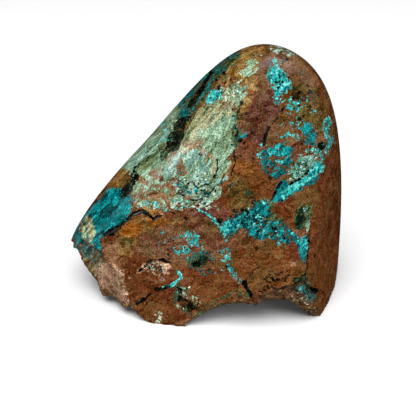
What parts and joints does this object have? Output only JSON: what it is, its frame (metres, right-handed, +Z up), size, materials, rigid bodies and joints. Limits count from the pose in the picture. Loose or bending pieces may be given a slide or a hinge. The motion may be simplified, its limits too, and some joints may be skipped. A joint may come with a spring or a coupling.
{
  "type": "shattuckite freeform",
  "caption": "Free-form polished mineral specimen with a domed top, a slanting left side and a broken base that it stands on.",
  "frame": {"origin": "middle of the stone's bounding box, at the level of the table it stands on", "axes": "+Z up, +X to the viewer's right, -Y towards the viewer of the large polished face"},
  "size_m": [0.0746, 0.0446, 0.069],
  "materials": {
    "stone": "polished, with a broken base"
  },
  "bodies": {
    "root": {"stone": "stone"}
  },
  "joints": []
}
